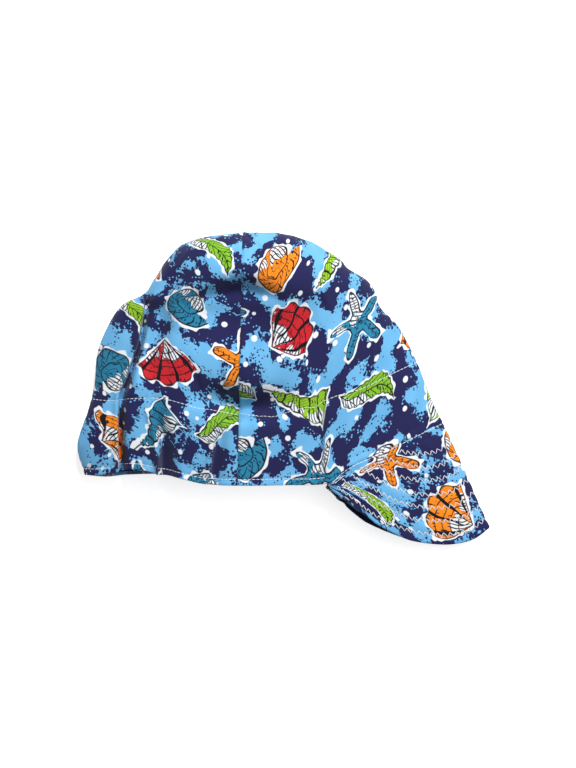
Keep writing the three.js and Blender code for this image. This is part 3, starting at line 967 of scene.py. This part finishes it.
peak_turns = two_spans(
    peak_end_turn, math.pi, 2 * math.pi - peak_end_turn, peak_columns, right_half_share
)
peak_outs = np.linspace(1, 0, peak_rows)
peak_grid = peak_face(peak_turns[:, None], peak_outs[None, :])
peak_normals = outward(peak_grid)
peak_around, peak_up = cloth_place(peak_grid, peak_columns // 2)
peak_depth = running_length(peak_grid, 1)
to_seam = peak_depth[:, -1:] - peak_depth
row_spot = (peak_depth - quilt_first) / quilt_pitch
row_gap = np.abs(row_spot - np.round(row_spot)) * quilt_pitch
row_gap = np.where(row_spot < -0.5, quilt_first, row_gap)
channel = -quilt_puff * np.exp(-((row_gap / quilt_channel) ** 2))
quilting = channel * np.clip(to_seam / quilt_fade, 0, 1)
quilting += crumple * soft_noise(peak_around / crumple_along, peak_depth / crumple_down, crumple_seed)
quilting -= seam_pull * np.exp(-((to_seam / seam_pull_width) ** 2))
peak_grid = peak_grid + peak_normals * quilting[..., None]
peak_grid[..., 2] = np.maximum(peak_grid[..., 2], 0)
peak_normals = outward(peak_grid)
peak_print = cotton("peak printed cotton", 0.0, 0.88)
peak = wall_mesh(
    "peak_cloth", peak_grid, peak_normals, peak_cloth, peak_around, peak_up,
    peak_cut_angle, peak_cuts_at, (peak_print, peak_print),
)
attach(peak, "root")
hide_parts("peak")

# Topstitching
# White sewing thread. Straight rows hold the hem and the top of the sweatband, one row runs along
# the seam of the peak, and rows of zigzag quilt the peak.
fine_thread, zigzag_thread = 0.00025, 0.00029
thread_lift, thread_end = 0.00014, 0.55
stitch_length, stitch_gap = 0.0027, 0.0003
zigzag_pitch, zigzag_half = 0.0044, 0.0016
zigzag_drift, zigzag_drift_length = 0.0008, 0.03
zigzag_uneven, zigzag_uneven_length = 0.0003, 0.002
noise_slant = 0.05
zigzag_short = 0.004
zigzag_seed = 90
peak_seam_stitch = 0.0014
end_columns = 3
thread_twists = 2400.0

thread, thread_draft, thread_surface = new_material("white sewing thread")
thread_place = thread_draft.node("TexCoord").outputs["Object"]
twist_values = [("Vector", thread_place), ("Scale", thread_twists)]
twist = thread_draft.node("TexNoise", twist_values).outputs[0]
thread_tone = thread_draft.mix(twist, linear(205, 210, 222), linear(246, 247, 250))
thread_draft.feed(thread_surface["Base Color"], thread_tone)
thread_surface["Roughness"].default_value = 0.6


def stitch_mesh(name, radius, starts, ends, outs):
    """One short bent tube of thread for each stitch."""
    sides, stations = 6, 5
    along = np.linspace(0, 1, stations)[None, :, None]
    way = (ends - starts)[:, None]
    arch = np.sin(along * math.pi)
    middle = starts[:, None] + way * along + outs[:, None] * thread_lift * (2 * arch - 1)
    side = unit(np.cross(way[:, 0], outs))
    angles = np.arange(sides) * 2 * math.pi / sides
    cos, sin = np.cos(angles)[None, :, None], np.sin(angles)[None, :, None]
    ring = side[:, None] * cos + outs[:, None] * sin
    girth = radius * (thread_end + (1 - thread_end) * arch)
    points = middle[:, :, None] + ring[:, None] * girth[:, :, None]
    count = len(starts)
    base = (np.arange(count) * stations * sides)[:, None, None]
    i = np.arange(stations - 1)[None, :, None] * sides
    j = np.arange(sides)[None, None, :]
    k = (j + 1) % sides
    low, high = base + i, base + i + sides
    quads = np.stack([low + j, low + k, high + k, high + j], axis=-1).reshape(-1, 4).tolist()
    first = (base[:, 0] + np.arange(sides)[::-1]).tolist()
    last = (base[:, 0] + (stations - 1) * sides + np.arange(sides)).tolist()
    mesh = bpy.data.meshes.new(name)
    mesh.from_pydata(points.reshape(-1, 3).tolist(), [], quads + first + last)
    mesh.polygons.foreach_set("use_smooth", np.ones(len(mesh.polygons), bool))
    mesh.materials.append(thread)
    piece = in_scene(name, mesh)
    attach(piece, "root")


def on_grid(values, column, row):
    """Values of a grid at spots between its columns and rows."""
    i = np.clip(np.floor(column).astype(int), 0, values.shape[0] - 2)
    j = np.clip(np.floor(row).astype(int), 0, values.shape[1] - 2)
    x, y = (column - i)[:, None], (row - j)[:, None]
    low = values[i, j] * (1 - x) + values[i + 1, j] * x
    high = values[i, j + 1] * (1 - x) + values[i + 1, j + 1] * x
    return low * (1 - y) + high * y


def stepped(line, outs, first, pitch):
    """Spots at even steps along a line of points."""
    run = run_along(line)
    spots = np.arange(first, run[-1], pitch)
    return [
        np.stack([np.interp(spots, run, column) for column in values.T], axis=1)
        for values in (line, outs)
    ]


def straight_row(line, outs):
    """Starts, ends and outward ways of straight stitches along a line."""
    pitch = stitch_length + stitch_gap
    starts, ways = stepped(line, outs, stitch_gap, pitch)
    ends, _ = stepped(line, outs, stitch_gap + stitch_length, pitch)
    count = min(len(starts), len(ends))
    return starts[:count], ends[:count], ways[:count]


def hem_stitch_at(across):
    return np.full(np.shape(across), hem_stitch)


def crown_row(node, height_at, stops_at_peak):
    """Line of points on a panel, and their outward ways, at these distances up from the rim."""
    turns, rises, across, face, out = panel_faces[node]
    _, up = cloth_place(face, 0)
    columns = np.arange(1, len(turns) - 1)
    if stops_at_peak:
        columns = columns[np.abs(turns[columns]) < peak_end_turn]
    rows = [np.interp(height_at(across[c, 0]), up[c], np.arange(len(rises))) for c in columns]
    return on_grid(face, columns, np.array(rows)), on_grid(out, columns, np.array(rows))


def stitch_crown(name, height_at, stops_at_peak):
    """One row of topstitching over all four panels, as one piece."""
    rows = [straight_row(*crown_row(node, height_at, stops_at_peak)) for node in crown_nodes]
    stitch_mesh(name, fine_thread, *(np.concatenate(parts) for parts in zip(*rows)))


stitch_crown("hem_topstitch", hem_stitch_at, stops_at_peak=True)
stitch_crown("band_topstitch", band_stitch_at, stops_at_peak=False)

seam_columns = np.arange(end_columns, peak_columns - end_columns)
seam_rows = np.array([
    np.interp(peak_depth[c, -1] - peak_seam_stitch, peak_depth[c], np.arange(peak_rows))
    for c in seam_columns
])
peak_seam_row = straight_row(
    on_grid(peak_grid, seam_columns, seam_rows), on_grid(peak_normals, seam_columns, seam_rows)
)
stitch_mesh("peak_topstitch", fine_thread, *peak_seam_row)


def zigzag_row(depth, seed):
    """Spots, on one side and the other in turn, of a zigzag at this distance from the front edge."""
    columns = seam_columns[peak_depth[seam_columns, -1] > depth + zigzag_short]
    grid_rows = np.arange(peak_rows)
    rows = np.array([np.interp(depth, peak_depth[c], grid_rows) for c in columns])
    line = on_grid(peak_grid, columns, rows)
    run = run_along(line)
    steps = np.arange(0, run[-1], zigzag_pitch / 2)
    drift = soft_noise(steps / zigzag_drift_length, steps / noise_slant, seed)
    uneven = soft_noise(steps / zigzag_uneven_length, steps / noise_slant, seed + 1)
    spots = np.interp(steps + zigzag_uneven * uneven, run, columns)
    sides = depth + zigzag_drift * drift + zigzag_half * np.where(np.arange(len(steps)) % 2, 1, -1)
    rows = np.array([
        np.interp(side, peak_depth[round(spot)], grid_rows) for spot, side in zip(spots, sides)
    ])
    return on_grid(peak_grid, spots, rows), on_grid(peak_normals, spots, rows)


zigzags = []
for number in range(int(peak_length / quilt_pitch) - 1):
    spots, ways = zigzag_row(quilt_first + number * quilt_pitch, zigzag_seed + 2 * number)
    zigzags.append((spots[:-1], spots[1:], (ways[:-1] + ways[1:]) / 2))
stitch_mesh("peak_zigzag", zigzag_thread, *(np.concatenate(parts) for parts in zip(*zigzags)))

# Floor, camera and light
# A pale sheet under the cap, a camera straight above it, and soft light from the far side.
crown_length_px = 367.5
photo_px = crown_length / crown_length_px
photo_centre = (288.0, 384.0)
cap_centre = (283.2, 388.0)
camera_height = 2.2
camera_sensor = 36.0
photo_rows = 768
cloth_level = 0.018
floor_half, floor_drop = 3.0, 0.0003
floor_glow = 0.75
room_light = 0.20

floor_mesh = bpy.data.meshes.new("floor")
floor_corners = [(x * floor_half, y * floor_half, 0) for x, y in ((-1, -1), (1, -1), (1, 1), (-1, 1))]
floor_mesh.from_pydata(floor_corners, [], [(0, 1, 2, 3)])
floor = in_scene("floor", floor_mesh)
floor.location.z = -floor_drop
paper, paper_draft, paper_surface = new_material("white paper")
paper_grain = paper_draft.node("TexNoise", [("Scale", 90.0), ("Detail", 3.0)]).outputs[0]
paper_tone = paper_draft.mix(paper_grain, linear(244, 244, 245), linear(250, 250, 250))
paper_seen = paper_draft.node("LightPath").outputs["Is Camera Ray"]
paper_draft.feed(paper_surface["Base Color"], paper_tone)
paper_draft.feed(paper_surface["Emission Color"], paper_tone)
paper_draft.feed(paper_surface["Emission Strength"], Value(paper_draft, paper_seen) * floor_glow)
paper_surface["Roughness"].default_value = 0.9
floor_mesh.materials.append(paper)

camera_data = bpy.data.cameras.new("camera")
camera_data.sensor_width = camera_sensor
camera_data.lens = camera_sensor * (camera_height - cloth_level) / (photo_rows * photo_px)
camera = in_scene("camera", camera_data)
camera.location = (
    (photo_centre[0] - cap_centre[0]) * photo_px,
    (cap_centre[1] - photo_centre[1]) * photo_px,
    camera_height,
)
bpy.context.scene.camera = camera


def lamp(name, place, size, power):
    """A square soft light that faces the cap."""
    data = bpy.data.lights.new(name, "AREA")
    data.shape = "SQUARE"
    data.size = size
    data.energy = power
    light = in_scene(name, data)
    light.location = place
    tilt = math.acos(place[2] / length(place))
    light.rotation_euler = (tilt, 0, math.atan2(-place[1], -place[0]) - math.pi / 2)


lamp("key light", place=(0.30, 1.25, 1.50), size=0.45, power=41)
lamp("fill light", place=(1.0, 0.2, 1.6), size=1.2, power=9)

world = bpy.data.worlds.new("studio")
bpy.context.scene.world = world
world.use_nodes = True
background = world.node_tree.nodes["Background"].inputs
background["Color"].default_value = (1.0, 1.0, 1.0, 1.0)
background["Strength"].default_value = room_light
bpy.context.scene.view_settings.view_transform = "Standard"
